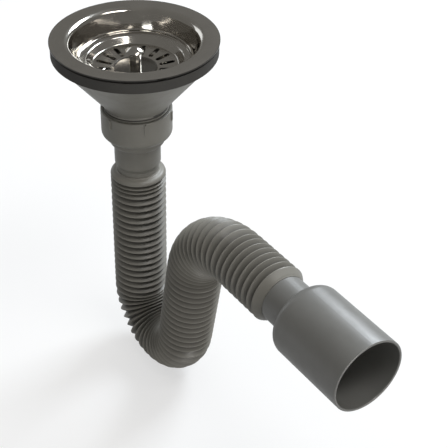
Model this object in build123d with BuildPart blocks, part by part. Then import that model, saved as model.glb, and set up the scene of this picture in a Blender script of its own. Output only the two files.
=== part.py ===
from math import cos, hypot, radians, sin
import os

from build123d import *

# Flexible sink trap: strainer with a lift-out basket, funnel, union nut and bellows hose.
# The origin is on the strainer's axis, in the plane where the two sink gaskets meet.
# +Z is up and the hose lies in the XZ plane, with its outlet towards +X.

# Steel bowl
flange_width = 8.3
bowl_sheet = 0.8
mouth_dia = 97.4
mouth_round = 4.7
ledge_dia = 79.0
ledge_depth = 14.8
ledge_width = 5.7
ledge_fall = 1.4
sump_foot_dia = 52.0
press_round = 2.4
drain_holes = 8
drain_hole_dia = 7.0

# Basket
basket_sheet = 0.7
basket_rim_inset = 2.3
basket_rim_upturn = 1.0
basket_rim_round = 0.5
basket_waist_inset = 0.8
basket_wall_width = 3.6
basket_wall_fall = 4.2
basket_press_round = 1.2
slot_count = 16
slot_width = 3.2
slot_head = 2.2
slot_foot = 1.2
grate_fall = 2.0
well_dia = 30.6
well_fall = 0.4
well_flare = 1.2
well_round = 1.0

# Basket knob, seal and nut
knob_height = 15.5
knob_head_dia = 12.6
knob_head_height = 4.0
knob_edge = 0.8
knob_crown_fall = 0.8
knob_stem_dia = 8.2
stud_dia = 5.0
peg_dia = 4.0
peg_reach = 10.0
seal_thickness = 2.5
seal_inset = 1.6
seal_skirt = 2.0
basket_nut_flats = 8.0
basket_nut_height = 2.5

# Clamping screw and its insert
screw_dia = 8.0
screw_length = 17.0
screw_head_dia = 15.0
screw_head_height = 3.0
socket_depth = 13.0
insert_flats = 13.0
insert_height = 7.0

# Gaskets
flange_gasket_thickness = 1.6
flange_gasket_setback = 2.4
sink_gasket_height = 7.3
gasket_setback = 0.6

# Funnel
funnel_setback = 3.3
funnel_wall = 2.5
funnel_rim_height = 1.5
funnel_height = 39.15
hub_dia = 20.0
web_count = 4
web_thickness = 2.4
web_height = 9.0
web_bite = 1.1
spigot_dia = 44.8
spigot_length = 15.15
thread_show = 3.2

# Union
nut_wall = 2.1
nut_round = 4.2
nut_lip = 3.0
nut_boss_wall = 2.75
nut_boss_height = 6.3
nut_boss_round = 2.4
nut_top_round = 0.8
rib_count = 6
rib_angle = -17.5
rib_width = 1.6
rib_length = 7.0
rib_proud = 0.9
washer_thickness = 2.0
slip_ring_thickness = 1.2

# Inlet tail
tail_flange_thickness = 2.5
tail_neck_dia = 33.1
tail_neck_show = 16.0
tail_step = 3.5
tail_tip_dia = 30.2
tail_tip_show = 4.5
tail_tip_in_hose = 10.0
tail_wall = 1.9
tail_bead = 0.7
tail_bead_length = 2.1

# Bellows hose
hose_dia = 40.0
hose_wall = 0.9
hose_edge = 0.5
fold_depth = 3.4
crest_share = 0.1
hose_folds = 67
lead_folds = 2
lead_pitch = 3.2
inlet_shoulder = 3.35
outlet_shoulder = 4.5
shoulder_angles = (0, 30, 60, 90)
hose_drop = 106.15
trap_radius = 31.6
trap_angle = 170.0
hose_rise = 71.4
crown_radius = 50.8
hose_run = 45.15

# Outlet adaptor
neck_dia = 32.4
neck_length = 19.05
neck_in_hose = 5.0
cup_dia = 50.0
cup_length = 61.9
cup_round = 7.0
cup_wall = 1.6
cup_edge = 0.6

# Clearances
seat_gap = 0.3
slide_gap = 0.3
drill_gap = 0.4
thread_gap = 0.5
push_gap = 0.15

# Radii
mouth_r = mouth_dia / 2
rim_r = mouth_r + flange_width
wall_r = mouth_r - mouth_round
ledge_r = ledge_dia / 2
ledge_foot_r = ledge_r - ledge_width
sump_foot_r = sump_foot_dia / 2
screw_r = screw_dia / 2
socket_r = peg_dia / 2 + slide_gap
spigot_r = spigot_dia / 2
bore_r = spigot_r - funnel_wall
nut_bore_r = spigot_r + thread_gap
nut_r = nut_bore_r + nut_wall
tail_neck_r = tail_neck_dia / 2
tail_tip_r = tail_tip_dia / 2
nut_hole_r = tail_neck_r + thread_gap
nut_boss_r = nut_hole_r + nut_boss_wall
tail_flange_r = nut_bore_r - thread_gap
crest_r = hose_dia / 2
groove_r = crest_r - fold_depth
neck_r = neck_dia / 2
cup_r = cup_dia / 2

# Levels of the bowl and the basket
rim_top = flange_gasket_thickness + bowl_sheet
ledge_z = rim_top - ledge_depth
sump_z = ledge_z - ledge_fall
ledge_slope = ledge_fall / ledge_width
basket_lift = (basket_sheet + seat_gap) * hypot(1, ledge_slope)
basket_rim_r = ledge_r - basket_rim_inset
basket_waist_r = ledge_foot_r - basket_waist_inset
basket_rim_z = ledge_z + basket_lift - ledge_slope * basket_rim_inset
basket_waist_z = basket_rim_z - ledge_slope * (basket_rim_r - basket_waist_r)
grate_r = basket_waist_r - basket_wall_width
grate_z = basket_waist_z - basket_wall_fall
well_r = well_dia / 2
well_z = grate_z - grate_fall
basket_floor_z = well_z - well_fall
seal_top_z = basket_floor_z - basket_sheet
seal_base_z = seal_top_z - seal_thickness
basket_nut_base_z = seal_base_z - basket_nut_height
screw_top_z = basket_nut_base_z - seat_gap
bowl_floor_z = screw_top_z - screw_head_height
peg_tip_z = basket_nut_base_z - peg_reach

# Levels of the funnel and the union
gasket_r = rim_r - gasket_setback
funnel_r = gasket_r - funnel_setback
funnel_top_z = -sink_gasket_height
cone_top_z = funnel_top_z - funnel_rim_height
cone_foot_z = funnel_top_z - funnel_height
cone_slope = (funnel_r - spigot_r) / (cone_top_z - cone_foot_z)
cone_wall = funnel_wall * hypot(1, cone_slope)
hub_top_z = bowl_floor_z - bowl_sheet
insert_base_z = bowl_floor_z - screw_length
hub_base_z = insert_base_z
spigot_end_z = cone_foot_z - spigot_length
nut_top_z = cone_foot_z - thread_show
washer_base_z = spigot_end_z - washer_thickness
tail_top_z = washer_base_z - seat_gap
tail_flange_base_z = tail_top_z - tail_flange_thickness
slip_top_z = tail_flange_base_z - seat_gap
slip_base_z = slip_top_z - slip_ring_thickness
nut_lip_z = slip_base_z - seat_gap
nut_base_z = nut_lip_z - nut_lip
nut_boss_base_z = nut_base_z - nut_boss_height
tail_neck_base_z = nut_boss_base_z - tail_neck_show
hose_top_z = tail_neck_base_z - tail_step - tail_tip_show

os.makedirs("parts", exist_ok=True)


def cone_bore(level):
    """Inner radius of the funnel's cone at a level."""
    return funnel_r - cone_wall - cone_slope * (cone_top_z - level)


# Strainer bowl: flat flange, tapered wall, basket ledge and sump
with BuildPart() as strainer_bowl:
    with BuildSketch(Plane.XZ):
        with BuildLine():
            FilletPolyline(
                (rim_r, rim_top),
                (wall_r, rim_top),
                (ledge_r, ledge_z),
                (ledge_foot_r, sump_z),
                (sump_foot_r, bowl_floor_z),
                (screw_r + drill_gap, bowl_floor_z),
                radius=[mouth_round, press_round, press_round, press_round],
            )
            offset(amount=bowl_sheet, side=Side.LEFT)
        make_face()
    revolve(axis=Axis.Z)
    skirt_r = sump_foot_r - press_round - slide_gap
    drain_r = (screw_head_dia / 2 + skirt_r - seal_skirt) / 2
    with BuildSketch(Plane.XY.offset(bowl_floor_z)):
        with PolarLocations(drain_r, drain_holes):
            Circle(drain_hole_dia / 2)
    extrude(amount=-2 * bowl_sheet, mode=Mode.SUBTRACT)

# Thin ring between the flange and the sink
with BuildPart() as flange_gasket:
    gasket_in_r = mouth_r + drill_gap
    with BuildSketch():
        Circle(rim_r - flange_gasket_setback)
        Circle(gasket_in_r, mode=Mode.SUBTRACT)
    extrude(amount=flange_gasket_thickness)

# Thick ring between the sink and the funnel
with BuildPart() as sink_gasket:
    with BuildSketch():
        Circle(gasket_r)
        Circle(gasket_in_r, mode=Mode.SUBTRACT)
    extrude(amount=-sink_gasket_height)

# Funnel with its spigot, and a webbed hub that takes the clamping screw
with BuildPart() as waste_body:
    with BuildSketch(Plane.XZ):
        with BuildLine():
            Polyline(
                (funnel_r, funnel_top_z),
                (funnel_r, cone_top_z),
                (spigot_r, cone_foot_z),
                (spigot_r, spigot_end_z),
            )
            offset(amount=funnel_wall, side=Side.RIGHT)
        make_face()
    revolve(axis=Axis.Z)
    web_top_z = hub_top_z - bowl_sheet
    web_base_z = web_top_z - web_height
    for number in range(web_count):
        web_angle = 360 / web_count * (number + 0.5)
        with BuildSketch(Plane.XZ.rotated((0, 0, web_angle))):
            with BuildLine():
                Polyline(
                    (screw_r, web_top_z),
                    (cone_bore(web_top_z) + web_bite, web_top_z),
                    (cone_bore(web_base_z) + web_bite, web_base_z),
                    (screw_r, web_base_z),
                    close=True,
                )
            make_face()
    extrude(amount=web_thickness / 2, both=True)
    with BuildSketch(Plane.XY.offset(hub_top_z)):
        Circle(hub_dia / 2)
    extrude(amount=hub_base_z - hub_top_z)
    with BuildSketch(Plane.XY.offset(hub_top_z)):
        Circle(screw_r + drill_gap)
    extrude(amount=hub_base_z - hub_top_z, mode=Mode.SUBTRACT)
    with BuildSketch(Plane.XY.offset(hub_base_z)):
        RegularPolygon(insert_flats / 2 + push_gap, 6, major_radius=False)
    extrude(amount=insert_height, mode=Mode.SUBTRACT)

# Clamping screw, with a socket that guides the basket's peg
with BuildPart() as fixing_screw:
    with BuildSketch(Plane.XY.offset(bowl_floor_z)):
        Circle(screw_head_dia / 2)
    extrude(amount=screw_head_height)
    with BuildSketch(Plane.XY.offset(bowl_floor_z)):
        Circle(screw_r)
    extrude(amount=-screw_length)
    with BuildSketch(Plane.XY.offset(screw_top_z)):
        Circle(socket_r)
    extrude(amount=-socket_depth, mode=Mode.SUBTRACT)

# Brass nut in the hub
with BuildPart() as screw_insert:
    with BuildSketch(Plane.XY.offset(insert_base_z)):
        RegularPolygon(insert_flats / 2, 6, major_radius=False)
        Circle(screw_r + push_gap, mode=Mode.SUBTRACT)
    extrude(amount=insert_height)

# Basket: turned-up rim, steep wall, slotted grate and a shallow well
with BuildPart() as basket_cup:
    with BuildSketch(Plane.XZ):
        with BuildLine():
            FilletPolyline(
                (basket_rim_r, basket_rim_z + basket_rim_upturn),
                (basket_rim_r, basket_rim_z),
                (basket_waist_r, basket_waist_z),
                (grate_r, grate_z),
                (well_r, well_z),
                (well_r - well_flare, basket_floor_z),
                (stud_dia / 2 + push_gap, basket_floor_z),
                radius=[basket_rim_round, basket_press_round, basket_press_round, well_round, well_round],
            )
            offset(amount=basket_sheet, side=Side.LEFT)
        make_face()
    revolve(axis=Axis.Z)
    slot_out_r = grate_r - slot_head
    slot_in_r = well_r + slot_foot
    with BuildSketch(Plane.XY.offset(grate_z + basket_sheet)):
        with PolarLocations((slot_out_r + slot_in_r) / 2, slot_count):
            SlotOverall(slot_out_r - slot_in_r, slot_width)
    extrude(amount=-grate_fall - 2 * basket_sheet, mode=Mode.SUBTRACT)

# Knob, with the stud that holds the basket and the peg that slides in the screw
with BuildPart() as basket_knob:
    knob_top_z = basket_floor_z + knob_height
    head_base_z = knob_top_z - knob_head_height
    with BuildSketch(Plane.XZ):
        with BuildLine():
            crown = ThreePointArc(
                (0, knob_top_z),
                (knob_head_dia / 4, knob_top_z - knob_crown_fall),
                (knob_head_dia / 2, head_base_z + knob_edge),
            )
            Polyline(
                crown @ 1,
                (knob_head_dia / 2 - knob_edge, head_base_z),
                (knob_stem_dia / 2, head_base_z),
                (knob_stem_dia / 2, basket_floor_z),
                (stud_dia / 2, basket_floor_z),
                (stud_dia / 2, basket_nut_base_z),
                (peg_dia / 2, basket_nut_base_z),
                (peg_dia / 2, peg_tip_z),
                (0, peg_tip_z),
                crown @ 0,
            )
        make_face()
    revolve(axis=Axis.Z)

# Rubber bell that closes the drain holes
with BuildPart() as plug_seal:
    skirt_base_z = bowl_floor_z + seat_gap
    with BuildSketch(Plane.XZ):
        with BuildLine():
            Polyline(
                (stud_dia / 2 + push_gap, seal_top_z),
                (well_r - seal_inset, seal_top_z),
                (skirt_r, skirt_base_z),
                (skirt_r - seal_skirt, skirt_base_z),
                (well_r - seal_inset - seal_skirt, seal_base_z),
                (stud_dia / 2 + push_gap, seal_base_z),
                close=True,
            )
        make_face()
    revolve(axis=Axis.Z)

# Nut under the seal
with BuildPart() as basket_nut:
    with BuildSketch(Plane.XY.offset(basket_nut_base_z)):
        RegularPolygon(basket_nut_flats / 2, 6, major_radius=False)
        Circle(stud_dia / 2 + push_gap, mode=Mode.SUBTRACT)
    extrude(amount=basket_nut_height)

# Washer between the spigot and the tail
with BuildPart() as outlet_washer:
    with BuildSketch(Plane.XY.offset(washer_base_z)):
        Circle(spigot_r)
        Circle(bore_r, mode=Mode.SUBTRACT)
    extrude(amount=washer_thickness)

# Ring between the tail's flange and the nut's lip
with BuildPart() as slip_ring:
    with BuildSketch(Plane.XY.offset(slip_base_z)):
        Circle(tail_flange_r)
        Circle(nut_hole_r, mode=Mode.SUBTRACT)
    extrude(amount=slip_ring_thickness)

# Union nut: plain bore, rounded foot with a boss round the tail, and short grip ribs
with BuildPart() as union_nut:
    foot_round = min(nut_round, nut_r - nut_boss_r - nut_top_round)
    with BuildSketch(Plane.XZ):
        with BuildLine():
            FilletPolyline(
                (nut_bore_r, nut_lip_z),
                (nut_bore_r, nut_top_z),
                (nut_r, nut_top_z),
                (nut_r, nut_base_z),
                (nut_boss_r, nut_base_z),
                (nut_boss_r, nut_boss_base_z),
                (nut_hole_r, nut_boss_base_z),
                radius=[nut_top_round / 2, nut_top_round, foot_round, nut_top_round / 2, nut_boss_round],
            )
            Polyline(
                (nut_hole_r, nut_boss_base_z),
                (nut_hole_r, nut_lip_z),
                (nut_bore_r, nut_lip_z),
            )
        make_face()
    revolve(axis=Axis.Z)
    rib_depth = (nut_r - nut_bore_r) / 2
    with BuildSketch(Plane.XY.offset(nut_top_z - nut_top_round)):
        with PolarLocations(nut_r, rib_count, start_angle=rib_angle):
            with Locations(((rib_proud - rib_depth) / 2, 0)):
                Rectangle(rib_proud + rib_depth, rib_width)
    extrude(amount=-rib_length)

# Inlet tail: flange held by the union, neck and a tip that carries the hose
with BuildPart() as inlet_tail:
    tail_bore_r = tail_tip_r - tail_wall
    tip_base_z = hose_top_z - tail_tip_in_hose
    bead_z = hose_top_z - hose_wall - 2 * slide_gap
    with BuildSketch(Plane.XZ):
        with BuildLine():
            Polyline(
                (tail_bore_r, tail_top_z),
                (tail_flange_r, tail_top_z),
                (tail_flange_r, tail_flange_base_z),
                (tail_neck_r, tail_flange_base_z),
                (tail_neck_r, tail_neck_base_z),
                (tail_tip_r, tail_neck_base_z - tail_step),
                (tail_tip_r, bead_z),
                (tail_tip_r + tail_bead, bead_z - tail_bead),
                (tail_tip_r, bead_z - tail_bead_length),
                (tail_tip_r, tip_base_z),
                (tail_bore_r, tip_base_z),
                close=True,
            )
        make_face()
    revolve(axis=Axis.Z)

# Centre line of the hose, from the inlet tail to the outlet adaptor
with BuildLine(Plane.XZ) as hose_line:
    drop = Line((0, hose_top_z), (0, hose_top_z - hose_drop))
    trap = JernArc(drop @ 1, drop % 1, trap_radius, trap_angle)
    rise = Line(trap @ 1, trap @ 1 + (trap % 1) * hose_rise)
    crown_bend = JernArc(rise @ 1, rise % 1, crown_radius, 90 - trap_angle)
    run = Line(crown_bend @ 1, crown_bend @ 1 + (crown_bend % 1) * hose_run)
hose_path = hose_line.wires()[0]

# Places of the grooves along that line: a few close ones at the inlet, then even ones
hose_in_r = tail_tip_r + push_gap
hose_out_r = neck_r + slide_gap
lead_start = inlet_shoulder + lead_pitch / 2
folds_start = lead_start + lead_folds * lead_pitch
last_crest = hose_path.length - outlet_shoulder
fold_pitch = (last_crest - folds_start) / (hose_folds + 0.5)
grooves = [lead_start + lead_pitch * number for number in range(lead_folds)]
grooves += [folds_start + fold_pitch * number for number in range(hose_folds + 1)]


def ring(reach, radius):
    """Circle round the hose's centre line, at a length along it."""
    place = hose_path.position_at(reach, PositionMode.LENGTH)
    heading = hose_path.tangent_at(reach, PositionMode.LENGTH)
    return Wire.make_circle(radius, Plane(origin=place, x_dir=(0, 1, 0), z_dir=heading))


def bellows_skin(inset):
    """Rings of the hose's outer or inner skin, from the inlet's round shoulder to the outlet."""
    rings = []
    edge_r = hose_in_r + hose_edge
    for angle in shoulder_angles:
        reach = inlet_shoulder * (1 - cos(radians(angle)))
        radius = edge_r + (crest_r - edge_r) * sin(radians(angle))
        rings.append(ring(reach, max(hose_in_r, radius - inset)))
    for groove, following in zip(grooves, grooves[1:]):
        crest = (groove + following) / 2
        half_flat = (following - groove) * crest_share / 2
        rings.append(ring(groove, groove_r - inset))
        rings.append(ring(crest - half_flat, crest_r - inset))
        rings.append(ring(crest + half_flat, crest_r - inset))
    rings.append(ring(grooves[-1], groove_r - inset))
    rings.append(ring(last_crest, crest_r - inset))
    rings.append(ring(hose_path.length, max(hose_out_r, hose_out_r + hose_edge - inset)))
    return rings


# Bellows hose: two folded skins, closed at both ends by the edge of the wall
outer_rings = bellows_skin(0)
inner_rings = bellows_skin(hose_wall)
end_edges = [(outer_rings[0], inner_rings[0]), (outer_rings[-1], inner_rings[-1])]
hose_faces = []
for chain in [outer_rings, inner_rings, *end_edges]:
    hose_faces.extend(Shell.make_loft(chain, ruled=True).faces())
with BuildPart() as bellows_hose:
    add(Solid(Shell(hose_faces)))

# Outlet adaptor: neck in the hose's end, round shoulder and a plain cup
outlet_z = (run @ 1).Z
hose_end_x = (run @ 1).X
outlet_plane = Plane(origin=(hose_end_x, 0, outlet_z), x_dir=(1, 0, 0), z_dir=(0, -1, 0))
with BuildPart() as outlet_adaptor:
    cup_mouth = neck_length + cup_length
    with BuildSketch(outlet_plane):
        with BuildLine():
            FilletPolyline(
                (-neck_in_hose, neck_r - cup_wall),
                (-neck_in_hose, neck_r),
                (neck_length, neck_r),
                (neck_length, cup_r),
                (cup_mouth, cup_r),
                (cup_mouth, cup_r - cup_wall),
                (neck_length + cup_wall, cup_r - cup_wall),
                (neck_length + cup_wall, neck_r - cup_wall),
                radius=[cup_edge, cup_edge, cup_round, cup_edge, cup_edge, cup_round - cup_wall],
            )
            Line((neck_length + cup_wall, neck_r - cup_wall), (-neck_in_hose, neck_r - cup_wall))
        make_face()
    revolve(axis=Axis(outlet_plane.origin, outlet_plane.x_dir))

pieces = {
    "strainer_bowl": strainer_bowl,
    "flange_gasket": flange_gasket,
    "sink_gasket": sink_gasket,
    "waste_body": waste_body,
    "fixing_screw": fixing_screw,
    "screw_insert": screw_insert,
    "basket_cup": basket_cup,
    "basket_knob": basket_knob,
    "plug_seal": plug_seal,
    "basket_nut": basket_nut,
    "outlet_washer": outlet_washer,
    "slip_ring": slip_ring,
    "union_nut": union_nut,
    "inlet_tail": inlet_tail,
    "bellows_hose": bellows_hose,
    "outlet_adaptor": outlet_adaptor,
}
for node, piece in pieces.items():
    piece.part.label = node
    export_step(piece.part, f"parts/{node}.step")
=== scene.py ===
import math

import bpy
import numpy as np
from mathutils import Matrix, Vector


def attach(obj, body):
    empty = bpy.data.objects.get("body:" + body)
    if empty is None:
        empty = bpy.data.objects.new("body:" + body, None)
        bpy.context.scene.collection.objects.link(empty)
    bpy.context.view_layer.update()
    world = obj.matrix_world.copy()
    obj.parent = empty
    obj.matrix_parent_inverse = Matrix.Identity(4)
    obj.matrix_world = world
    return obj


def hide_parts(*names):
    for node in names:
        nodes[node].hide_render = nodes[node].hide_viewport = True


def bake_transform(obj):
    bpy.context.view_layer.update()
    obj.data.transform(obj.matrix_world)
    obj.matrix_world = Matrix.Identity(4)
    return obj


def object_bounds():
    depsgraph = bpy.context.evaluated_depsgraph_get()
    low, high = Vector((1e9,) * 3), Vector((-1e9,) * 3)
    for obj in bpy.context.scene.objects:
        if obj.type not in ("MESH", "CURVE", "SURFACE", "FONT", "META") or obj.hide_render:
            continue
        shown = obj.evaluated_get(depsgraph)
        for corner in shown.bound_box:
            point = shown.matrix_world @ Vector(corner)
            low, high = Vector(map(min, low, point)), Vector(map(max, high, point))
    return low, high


# Flexible sink trap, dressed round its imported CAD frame. Metres, +Z up.
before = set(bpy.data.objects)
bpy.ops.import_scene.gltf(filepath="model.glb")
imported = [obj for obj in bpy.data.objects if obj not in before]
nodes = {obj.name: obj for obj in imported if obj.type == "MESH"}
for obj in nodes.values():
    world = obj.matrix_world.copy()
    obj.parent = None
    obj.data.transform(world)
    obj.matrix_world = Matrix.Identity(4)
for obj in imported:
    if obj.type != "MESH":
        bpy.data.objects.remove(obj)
cad_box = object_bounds()
scene = bpy.context.scene
MM = 0.001

# Hose in millimetres, as in the CAD source, with its crests a hair lower to stay inside the CAD box
HOSE_TOP_Z = -101.5
HOSE_R = 19.99
HOSE_WALL = 0.9
HOSE_EDGE = 0.5
FOLD_DEPTH = 3.4
FOLDS = 67
LEAD_FOLDS = 2
LEAD_PITCH = 3.2
INLET_SHOULDER = 3.35
OUTLET_SHOULDER = 4.5
HOSE_IN_R = 15.25
HOSE_OUT_R = 16.5
DROP = 106.15
TRAP_R = 31.6
TRAP_ANGLE = 170.0
RISE = 71.4
CROWN_R = 50.8
RUN = 45.15

# Hose mesh: points round it, steps along its shoulders, and fillets at its ends as (reach, radius)
SEGMENTS = 72
OUTER_STEPS = 9
INNER_STEPS = 5
SHOULDER_START = 0.16
INLET_FILLET = ((-1.4, 15.12), (-0.85, 15.25), (-0.42, 15.55), (-0.12, 16.0))
OUTLET_FILLET = ((0.25, 16.7), (0.7, 16.42), (1.2, 16.3))

# Spigot thread in millimetres, with its run-outs a twelfth of its length
SPIGOT_R = 22.4
THREAD_TOP_Z = -47.2
THREAD_END_Z = -60.8
THREAD_PITCH = 2.309
THREAD_HEIGHT = 0.42
THREAD_FLANK = 0.12
THREAD_ROOT = -0.2
THREAD_STEPS = 96
RUN_OUT_RATE = 12

# Places where a finish or a painted shade changes, in metres, with the width over which it does
SATIN_Z, SATIN_FADE = 0.0021, 0.0015
CUT_EDGE_R, CUT_EDGE_FADE = 0.0568, 0.0001
SHADED_CENTRE_R, SHADED_CENTRE_FADE = 0.0153, 0.0006
THREAD_ROOT_Z, THREAD_ROOT_FADE = -0.0466, 0.0002

# Colours, and the tones of the painted shade in the hose's grooves, the thread roots, the flange's cut edge
# and the basket's centre
GREY = (0.245, 0.238, 0.213)
HOSE_GREY = (0.238, 0.229, 0.203)
CUP_GREY = (0.165, 0.164, 0.155)
RUBBER_BLACK = (0.062, 0.060, 0.056)
STEEL = (0.56, 0.535, 0.495)
SCREW_STEEL = (0.56, 0.55, 0.53)
BRASS = (0.70, 0.50, 0.22)
# Painted shade: the hose's tone darkens towards the bottom of each groove, where shade falls
GROOVE_SHADES = ((0.0, 1.0), (0.4, 0.80), (1.0, 0.40))
# Painted shade on the spigot below the thread's top, for the shade in the thread roots
THREAD_ROOT_SHADE = 0.22
# Painted shade: the flange's cut edge darkened nearly to black
CUT_EDGE_SHADE = 0.12
# Painted shade: the basket's centre darkened, standing in for a dark reflection there
CENTRE_SHADE = 0.45

# Sockets of a Mix node that mixes colours
MIX_A, MIX_B, MIX_RESULT = 6, 7, 2


# Materials


def tree_of(name):
    """A new node material: its tree and its shader."""
    material = bpy.data.materials.new(name)
    material.use_nodes = True
    tree = material.node_tree
    shader = tree.nodes["Principled BSDF"]
    return material, tree, shader


def object_coords(tree):
    """Coordinates in object metres."""
    return tree.nodes.new("ShaderNodeTexCoord").outputs["Object"]


def parted(tree, coords):
    """The X, Y and Z of coordinates."""
    node = tree.nodes.new("ShaderNodeSeparateXYZ")
    tree.links.new(coords, node.inputs["Vector"])
    return node.outputs


def noise(tree, coords, scale, detail, roughness):
    """A noise pattern."""
    node = tree.nodes.new("ShaderNodeTexNoise")
    node.inputs["Scale"].default_value = scale
    node.inputs["Detail"].default_value = detail
    node.inputs["Roughness"].default_value = roughness
    tree.links.new(coords, node.inputs["Vector"])
    return node.outputs["Fac"]


def ramp(tree, value, stops):
    """A colour ramp through the given (place, colour) stops."""
    node = tree.nodes.new("ShaderNodeValToRGB")
    elements = node.color_ramp.elements
    while len(elements) < len(stops):
        elements.new(0.5)
    for element, (place, colour) in zip(elements, stops):
        element.position = place
        element.color = (*colour, 1.0)
    tree.links.new(value, node.inputs["Fac"])
    return node.outputs["Color"]


def span(tree, value, low, high, start=0.3, end=0.7):
    """Maps a value, by default the middle of a noise pattern, to a range."""
    node = tree.nodes.new("ShaderNodeMapRange")
    node.inputs["From Min"].default_value = start
    node.inputs["From Max"].default_value = end
    node.inputs["To Min"].default_value = low
    node.inputs["To Max"].default_value = high
    tree.links.new(value, node.inputs["Value"])
    return node.outputs["Result"]


def past(tree, value, edge, fade):
    """0 below an edge and 1 above it, fading in just below."""
    return span(tree, value, 0.0, 1.0, edge - fade, edge)


def bump(tree, shader, height, strength, distance):
    """Fine relief from a pattern."""
    node = tree.nodes.new("ShaderNodeBump")
    node.inputs["Strength"].default_value = strength
    node.inputs["Distance"].default_value = distance
    tree.links.new(height, node.inputs["Height"])
    tree.links.new(node.outputs["Normal"], shader.inputs["Normal"])


def tint(colour, factor):
    """A lighter or darker colour."""
    return tuple(channel * factor for channel in colour)


def darkened(tree, tone, value, stops):
    """A tone times the grey that (place, level) stops give for a value."""
    shade = ramp(tree, value, [(place, (level, level, level)) for place, level in stops])
    mix = tree.nodes.new("ShaderNodeMix")
    mix.data_type = "RGBA"
    mix.blend_type = "MULTIPLY"
    mix.inputs["Factor"].default_value = 1.0
    tree.links.new(tone, mix.inputs[MIX_A])
    tree.links.new(shade, mix.inputs[MIX_B])
    return mix.outputs[MIX_RESULT]


def moulding(name, colour, rough, grain, specular, shade_grooves=False, root_z=None):
    """Moulded plastic: cloudy tone, fine grain, uneven gloss, and painted shade in its grooves or below
    root_z.
    """
    material, tree, shader = tree_of(name)
    coords = object_coords(tree)
    cloud = noise(tree, coords, scale=45.0, detail=4.0, roughness=0.55)
    tone = ramp(tree, cloud, ((0.25, tint(colour, 0.9)), (0.55, colour), (0.8, tint(colour, 1.1))))
    # Painted shade, deepening towards the bottom of each groove
    if shade_grooves:
        depth = tree.nodes.new("ShaderNodeAttribute")
        depth.attribute_name = "groove"
        tone = darkened(tree, tone, depth.outputs["Fac"], GROOVE_SHADES)
    # Painted shade below root_z, in the thread roots
    if root_z is not None:
        above = past(tree, parted(tree, coords)["Z"], root_z, THREAD_ROOT_FADE)
        tone = darkened(tree, tone, above, ((0.0, THREAD_ROOT_SHADE), (1.0, 1.0)))
    tree.links.new(tone, shader.inputs["Base Color"])
    gloss = noise(tree, coords, scale=160.0, detail=3.0, roughness=0.6)
    tree.links.new(span(tree, gloss, rough - 0.05, rough + 0.06), shader.inputs["Roughness"])
    grains = noise(tree, coords, scale=2600.0, detail=2.0, roughness=0.5)
    bump(tree, shader, grains, strength=grain, distance=0.00006)
    shader.inputs["Specular IOR Level"].default_value = specular
    return material


def rubber(name, colour):
    """Dull rubber with a dusty bloom."""
    material, tree, shader = tree_of(name)
    coords = object_coords(tree)
    cloud = noise(tree, coords, scale=90.0, detail=5.0, roughness=0.6)
    tone = ramp(tree, cloud, ((0.3, tint(colour, 0.85)), (0.6, colour), (0.85, tint(colour, 1.25))))
    tree.links.new(tone, shader.inputs["Base Color"])
    tree.links.new(span(tree, cloud, 0.62, 0.8), shader.inputs["Roughness"])
    grains = noise(tree, coords, scale=1800.0, detail=2.0, roughness=0.5)
    bump(tree, shader, grains, strength=0.25, distance=0.0001)
    shader.inputs["Specular IOR Level"].default_value = 0.3
    return material


def steel(name, colour, polished, relief=0.5, satin=None, edge_r=None, shaded_centre_r=None):
    """Pressed steel with drawing rings: satin above SATIN_Z, painted shade past edge_r and within
    shaded_centre_r.
    """
    material, tree, shader = tree_of(name)
    coords = object_coords(tree)
    part = parted(tree, coords)
    flat = tree.nodes.new("ShaderNodeCombineXYZ")
    tree.links.new(part["X"], flat.inputs["X"])
    tree.links.new(part["Y"], flat.inputs["Y"])
    length = tree.nodes.new("ShaderNodeVectorMath")
    length.operation = "LENGTH"
    tree.links.new(flat.outputs["Vector"], length.inputs[0])
    reach = length.outputs["Value"]
    rings = tree.nodes.new("ShaderNodeCombineXYZ")
    tree.links.new(reach, rings.inputs["X"])
    tree.links.new(part["Z"], rings.inputs["Y"])
    smudge = noise(tree, coords, scale=60.0, detail=4.0, roughness=0.6)
    tone = ramp(tree, smudge, ((0.3, tint(colour, 0.93)), (0.6, colour), (0.85, tint(colour, 1.06))))
    # Painted shade on the flange's cut edge
    if edge_r is not None:
        edge_shade = past(tree, reach, edge_r, CUT_EDGE_FADE)
        tone = darkened(tree, tone, edge_shade, ((0.0, 1.0), (1.0, CUT_EDGE_SHADE)))
    # Painted shade in the basket's centre, standing in for a dark reflection
    if shaded_centre_r is not None:
        outside = past(tree, reach, shaded_centre_r, SHADED_CENTRE_FADE)
        tone = darkened(tree, tone, outside, ((0.0, CENTRE_SHADE), (1.0, 1.0)))
    tree.links.new(tone, shader.inputs["Base Color"])
    gloss = span(tree, smudge, polished, polished + 0.07)
    if satin is not None:
        marks = noise(tree, rings.outputs["Vector"], scale=3500.0, detail=2.0, roughness=0.6)
        mix = tree.nodes.new("ShaderNodeMix")
        tree.links.new(past(tree, part["Z"], SATIN_Z, SATIN_FADE), mix.inputs["Factor"])
        tree.links.new(gloss, mix.inputs["A"])
        tree.links.new(span(tree, marks, satin - 0.03, satin + 0.05), mix.inputs["B"])
        gloss = mix.outputs["Result"]
    tree.links.new(gloss, shader.inputs["Roughness"])
    drawn = noise(tree, rings.outputs["Vector"], scale=420.0, detail=2.0, roughness=0.5)
    bump(tree, shader, drawn, strength=relief, distance=0.00003)
    shader.inputs["Metallic"].default_value = 1.0
    return material


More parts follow.
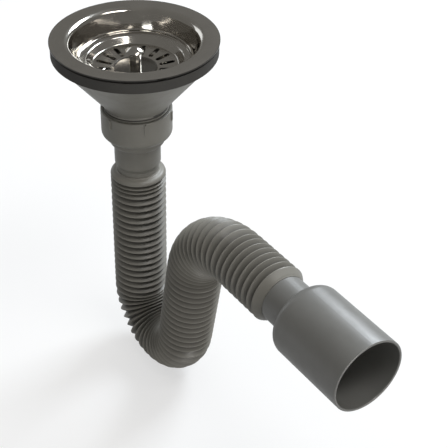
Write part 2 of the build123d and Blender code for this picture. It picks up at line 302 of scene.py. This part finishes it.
looks = {
    # The pressed steel has painted shade on its cut edge, and the basket steel in its centre
    "steel": steel("pressed_steel", STEEL, 0.06, satin=0.20, edge_r=CUT_EDGE_R),
    "basket_steel": steel("basket_steel", STEEL, 0.10, relief=0.1, shaded_centre_r=SHADED_CENTRE_R),
    "knob_steel": steel("knob_steel", STEEL, 0.10, relief=0.15),
    "screw_steel": steel("screw_steel", SCREW_STEEL, 0.16),
    "brass": steel("brass", BRASS, 0.22),
    "rubber": rubber("black_rubber", RUBBER_BLACK),
    "grey_moulding": moulding("grey_moulding", GREY, 0.42, 0.10, 0.45),
    # Moulding with painted shade in the thread roots
    "threaded_moulding": moulding("threaded_moulding", GREY, 0.42, 0.10, 0.45, root_z=THREAD_ROOT_Z),
    # Hose plastic with painted shade in its grooves
    "hose": moulding("hose_plastic", HOSE_GREY, 0.42, 0.08, 0.45, shade_grooves=True),
    "cup": moulding("cup_plastic", CUP_GREY, 0.40, 0.06, 1.0),
}
node_slot = {
    "strainer_bowl": "steel",
    "flange_gasket": "rubber",
    "sink_gasket": "rubber",
    "waste_body": "threaded_moulding",
    "fixing_screw": "screw_steel",
    "screw_insert": "brass",
    "basket_cup": "basket_steel",
    "basket_knob": "knob_steel",
    "plug_seal": "rubber",
    "basket_nut": "screw_steel",
    "outlet_washer": "rubber",
    "slip_ring": "grey_moulding",
    "union_nut": "grey_moulding",
    "inlet_tail": "grey_moulding",
    "bellows_hose": "hose",
    "outlet_adaptor": "cup",
}
for node, slot in node_slot.items():
    mesh = nodes[node].data
    mesh.materials.clear()
    mesh.materials.append(looks[slot])


# Meshes


def piece_from(name, points, faces, slot):
    """A smooth mesh piece in the row frame, from points in millimetres."""
    mesh = bpy.data.meshes.new(name)
    mesh.from_pydata([tuple(point) for point in np.asarray(points) * MM], [], faces)
    mesh.polygons.foreach_set("use_smooth", [True] * len(mesh.polygons))
    mesh.materials.append(looks[slot])
    mesh.update()
    piece = bpy.data.objects.new(name, mesh)
    scene.collection.objects.link(piece)
    return piece


def faces_between(rows, columns, closed):
    """Quads between rows of points that each run round a loop; closed joins the last row to the first."""
    faces = []
    for row in range(rows if closed else rows - 1):
        base = row * columns
        after = (row + 1) % rows * columns
        for column in range(columns):
            beside = (column + 1) % columns
            faces.append((base + column, base + beside, after + beside, after + column))
    return faces


# Line of the hose, in the XZ plane


def straight(start, heading, length):
    """A straight stretch of the hose's line: place and heading at a length along it."""
    way = np.array((math.cos(heading), math.sin(heading)))
    return lambda reach: (start + way * reach, heading), length


def bend(start, heading, radius, sweep):
    """A bend in the hose's line: place and heading at a length along it."""
    side = math.copysign(1.0, sweep)

    def off(angle):
        return np.array((-math.sin(angle), math.cos(angle))) * radius * side

    def at(reach):
        angle = heading + side * reach / radius
        return start + off(heading) - off(angle), angle

    return at, abs(sweep) * radius


def end_of(stretch):
    """Place and heading at the end of a stretch."""
    at, length = stretch
    return at(length)


drop = straight(np.array((0.0, HOSE_TOP_Z)), -math.pi / 2, DROP)
trap = bend(*end_of(drop), TRAP_R, math.radians(TRAP_ANGLE))
rise = straight(*end_of(trap), RISE)
crown = bend(*end_of(rise), CROWN_R, math.radians(90 - TRAP_ANGLE))
run = straight(*end_of(crown), RUN)
line = (drop, trap, rise, crown, run)
line_length = sum(length for _, length in line)


def ring(reach, radius):
    """Points round the hose's line, at a length along it."""
    for at, length in line:
        if reach <= length or at is run[0]:
            break
        reach -= length
    (x, z), heading = at(reach)
    turns = np.arange(SEGMENTS) * 2 * math.pi / SEGMENTS
    out = radius * np.cos(turns)
    across = radius * np.sin(turns)
    return np.stack((x - math.sin(heading) * out, across, z + math.cos(heading) * out), axis=1)


# Bellows hose: an outer and an inner skin, joined at both ends
lead_start = INLET_SHOULDER + LEAD_PITCH / 2
folds_start = lead_start + LEAD_FOLDS * LEAD_PITCH
last_crest = line_length - OUTLET_SHOULDER
fold_pitch = (last_crest - folds_start) / (FOLDS + 0.5)
grooves = [lead_start + LEAD_PITCH * number for number in range(LEAD_FOLDS)]
grooves += [folds_start + fold_pitch * number for number in range(FOLDS + 1)]


def mirrored(half):
    """A whole fold from its first half."""
    return half + [(1 - share, fall) for share, fall in reversed(half[1:-1])]


def skin(inset, fold, steps, inlet_fillet=(), outlet_fillet=()):
    """Rings of one skin of the hose and their depth in its folds, from the inlet to the outlet."""
    rings = []
    depths = []
    edge_r = HOSE_IN_R + HOSE_EDGE
    for reach, radius in inlet_fillet:
        rings.append(ring(reach, radius))
        depths.append(0.0)
    for angle in np.linspace(SHOULDER_START, math.pi / 2, steps):
        reach = INLET_SHOULDER * (1 - math.cos(angle))
        radius = edge_r + (HOSE_R - edge_r) * math.sin(angle)
        rings.append(ring(reach, max(HOSE_IN_R, radius - inset)))
        depths.append(0.0)
    for groove, following in zip(grooves, grooves[1:]):
        for share, fall in fold:
            rings.append(ring(groove + (following - groove) * share, HOSE_R - inset - fall))
            depths.append(fall / FOLD_DEPTH)
    half = [point for point in fold if point[0] <= 0.5]
    for share, fall in half:
        rings.append(ring(grooves[-1] + fold_pitch * share, HOSE_R - inset - fall))
        depths.append(fall / FOLD_DEPTH)
    for share in np.linspace(0, 1, steps)[1:]:
        reach = last_crest + OUTLET_SHOULDER * share
        radius = HOSE_R + (HOSE_OUT_R + HOSE_EDGE - HOSE_R) * share
        rings.append(ring(reach, max(HOSE_OUT_R, radius - inset)))
        depths.append(0.0)
    for reach, radius in outlet_fillet:
        rings.append(ring(line_length + reach, radius))
        depths.append(0.0)
    return rings, depths


# Outlines of a fold, from groove to crest, as (share of the pitch, fall from the crest)
outer_fold = mirrored(
    [
        (0.0, FOLD_DEPTH),
        (0.03, FOLD_DEPTH - 0.14),
        (0.23, FOLD_DEPTH * 0.5),
        (0.425, 0.30),
        (0.455, 0.09),
        (0.5, 0.0),
    ]
)
inner_fold = mirrored([(0.0, FOLD_DEPTH), (0.45, 0.0), (0.5, 0.0)])
outer, outer_depths = skin(0.0, outer_fold, OUTER_STEPS, INLET_FILLET, OUTLET_FILLET)
inner, inner_depths = skin(HOSE_WALL, inner_fold, INNER_STEPS)
loops = outer + inner[::-1]
hose_faces = faces_between(len(loops), SEGMENTS, closed=True)
hose = piece_from("bellows", np.concatenate(loops), hose_faces, "hose")
# Depth of each point in its fold, which the hose's material turns into painted shade
depth = hose.data.attributes.new("groove", "FLOAT", "POINT")
depth.data.foreach_set("value", np.repeat(outer_depths + inner_depths[::-1], SEGMENTS))
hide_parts("bellows_hose")
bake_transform(hose)

# Thread on the spigot: one rounded ridge wound round it, with its outline as (across, out)
ridge = (
    (-0.95, THREAD_ROOT),
    (-0.55, THREAD_FLANK),
    (-0.2, THREAD_HEIGHT),
    (0.2, THREAD_HEIGHT),
    (0.55, THREAD_FLANK),
    (0.95, THREAD_ROOT),
)
turns = (THREAD_TOP_Z - THREAD_END_Z) / THREAD_PITCH
steps = int(turns * THREAD_STEPS)
points = []
for step in range(steps + 1):
    share = step / steps
    angle = 2 * math.pi * turns * share
    fade = min(1.0, RUN_OUT_RATE * share, RUN_OUT_RATE * (1 - share))
    for across, out in ridge:
        radius = SPIGOT_R + (out if out < 0 else out * fade)
        z = THREAD_TOP_Z - THREAD_PITCH * turns * share + across
        points.append((radius * math.cos(angle), -radius * math.sin(angle), z))
width = len(ridge)
thread_faces = faces_between(steps + 1, width, closed=False)
thread_faces.append(tuple(range(width))[::-1])
thread_faces.append(tuple(steps * width + corner for corner in range(width)))
thread = piece_from("spigot_thread", points, thread_faces, "grey_moulding")
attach(thread, "strainer")

# Floor: white to the camera, half as much in reflections, and a grey ground to other rays
FLOOR_REACH = 6.0
floor_z = cad_box[0].z
floor_signs = ((-1, -1), (1, -1), (1, 1), (-1, 1))
floor_corners = [(FLOOR_REACH * x, FLOOR_REACH * y, floor_z) for x, y in floor_signs]
floor_mesh = bpy.data.meshes.new("floor")
floor_mesh.from_pydata(floor_corners, [], [(0, 1, 2, 3)])
floor = bpy.data.objects.new("floor", floor_mesh)
scene.collection.objects.link(floor)
floor_look, tree, shader = tree_of("floor_white")
shader.inputs["Base Color"].default_value = (0.86, 0.86, 0.86, 1.0)
shader.inputs["Roughness"].default_value = 0.9
shader.inputs["Specular IOR Level"].default_value = 0.1
path = tree.nodes.new("ShaderNodeLightPath")
reflected = tree.nodes.new("ShaderNodeMath")
reflected.operation = "MULTIPLY"
reflected.inputs[1].default_value = 0.5
tree.links.new(path.outputs["Is Glossy Ray"], reflected.inputs[0])
seen = tree.nodes.new("ShaderNodeMath")
seen.operation = "MAXIMUM"
tree.links.new(path.outputs["Is Camera Ray"], seen.inputs[0])
tree.links.new(reflected.outputs["Value"], seen.inputs[1])
white = tree.nodes.new("ShaderNodeEmission")
white.inputs["Color"].default_value = (1.0, 1.0, 1.0, 1.0)
white.inputs["Strength"].default_value = 1.0
backdrop = tree.nodes.new("ShaderNodeMixShader")
backdrop.inputs["Fac"].default_value = 0.6
tree.links.new(shader.outputs["BSDF"], backdrop.inputs[1])
tree.links.new(white.outputs["Emission"], backdrop.inputs[2])
ground = tree.nodes.new("ShaderNodeBsdfDiffuse")
ground.inputs["Color"].default_value = (0.24, 0.24, 0.24, 1.0)
shown = tree.nodes.new("ShaderNodeMixShader")
tree.links.new(seen.outputs["Value"], shown.inputs["Fac"])
tree.links.new(ground.outputs["BSDF"], shown.inputs[1])
tree.links.new(backdrop.outputs["Shader"], shown.inputs[2])
tree.links.new(shown.outputs["Shader"], tree.nodes["Material Output"].inputs["Surface"])
floor_mesh.materials.append(floor_look)

# Camera, fitted to the photo
CAMERA_PLACE = (0.5621, -0.3295, 0.34345)
RIGHT = Vector((0.5458, 0.8379, 0.0))
UP = Vector((-0.5079, 0.3308, 0.7954))
camera_data = bpy.data.cameras.new("camera")
camera_data.sensor_width = 36.0
camera_data.lens = 87.88
camera_data.shift_x = 0.0964
camera = bpy.data.objects.new("camera", camera_data)
scene.collection.objects.link(camera)
back = RIGHT.cross(UP).normalized()
up = back.cross(RIGHT).normalized()
turned = Matrix((RIGHT, up, back)).transposed().to_4x4()
camera.matrix_world = Matrix.Translation(CAMERA_PLACE) @ turned
scene.camera = camera

# World: a sky that brightens upwards, a dim room in reflections, and white behind the object
SKY_LOW = (0.02, 0.02, 0.02)
SKY_HIGH = (0.60, 0.59, 0.57)
world = bpy.data.worlds.new("world")
scene.world = world
world.use_nodes = True
tree = world.node_tree
height = parted(tree, tree.nodes.new("ShaderNodeTexCoord").outputs["Generated"])["Z"]
sky = tree.nodes["Background"]
tree.links.new(ramp(tree, height, ((0.0, SKY_LOW), (1.0, SKY_HIGH))), sky.inputs["Color"])
room = tree.nodes.new("ShaderNodeBackground")
room.inputs["Color"].default_value = (0.19, 0.187, 0.178, 1.0)
path = tree.nodes.new("ShaderNodeLightPath")
mixed = tree.nodes.new("ShaderNodeMixShader")
tree.links.new(path.outputs["Is Glossy Ray"], mixed.inputs["Fac"])
tree.links.new(sky.outputs["Background"], mixed.inputs[1])
tree.links.new(room.outputs["Background"], mixed.inputs[2])
backdrop = tree.nodes.new("ShaderNodeBackground")
backdrop.inputs["Color"].default_value = (1.0, 1.0, 1.0, 1.0)
viewed = tree.nodes.new("ShaderNodeMixShader")
tree.links.new(path.outputs["Is Camera Ray"], viewed.inputs["Fac"])
tree.links.new(mixed.outputs["Shader"], viewed.inputs[1])
tree.links.new(backdrop.outputs["Background"], viewed.inputs[2])
tree.links.new(viewed.outputs["Shader"], tree.nodes["World Output"].inputs["Surface"])

# Lamps
LAMP_DISTANCE = 1.6
MIDDLE = Vector((0.09, 0.0, -0.11))


def lamp(name, way, size, power, colour):
    """A soft rectangular lamp aimed at the middle of the object."""
    data = bpy.data.lights.new(name, "AREA")
    data.shape = "RECTANGLE"
    data.size, data.size_y = size
    data.energy = power
    data.color = colour
    lit = bpy.data.objects.new(name, data)
    scene.collection.objects.link(lit)
    lit.location = MIDDLE + way.normalized() * LAMP_DISTANCE
    lit.rotation_mode = "QUATERNION"
    lit.rotation_quaternion = (-way).to_track_quat("-Z", "Y")


lamp("over", Vector((0.42, 0.13, 0.89)), (0.8, 0.3), 7.0, (1.0, 0.985, 0.96))
lamp("side", Vector((-0.22, 0.72, 0.66)), (0.65, 0.65), 24.0, (0.88, 0.94, 1.0))
lamp("rear", Vector((-0.95, -0.1, 0.25)), (0.8, 0.9), 2.8, (0.92, 0.96, 1.0))
lamp("front", Vector((0.98, -0.1, -0.02)), (0.7, 0.2), 8.0, (1.0, 0.98, 0.95))

scene.view_settings.view_transform = "Standard"
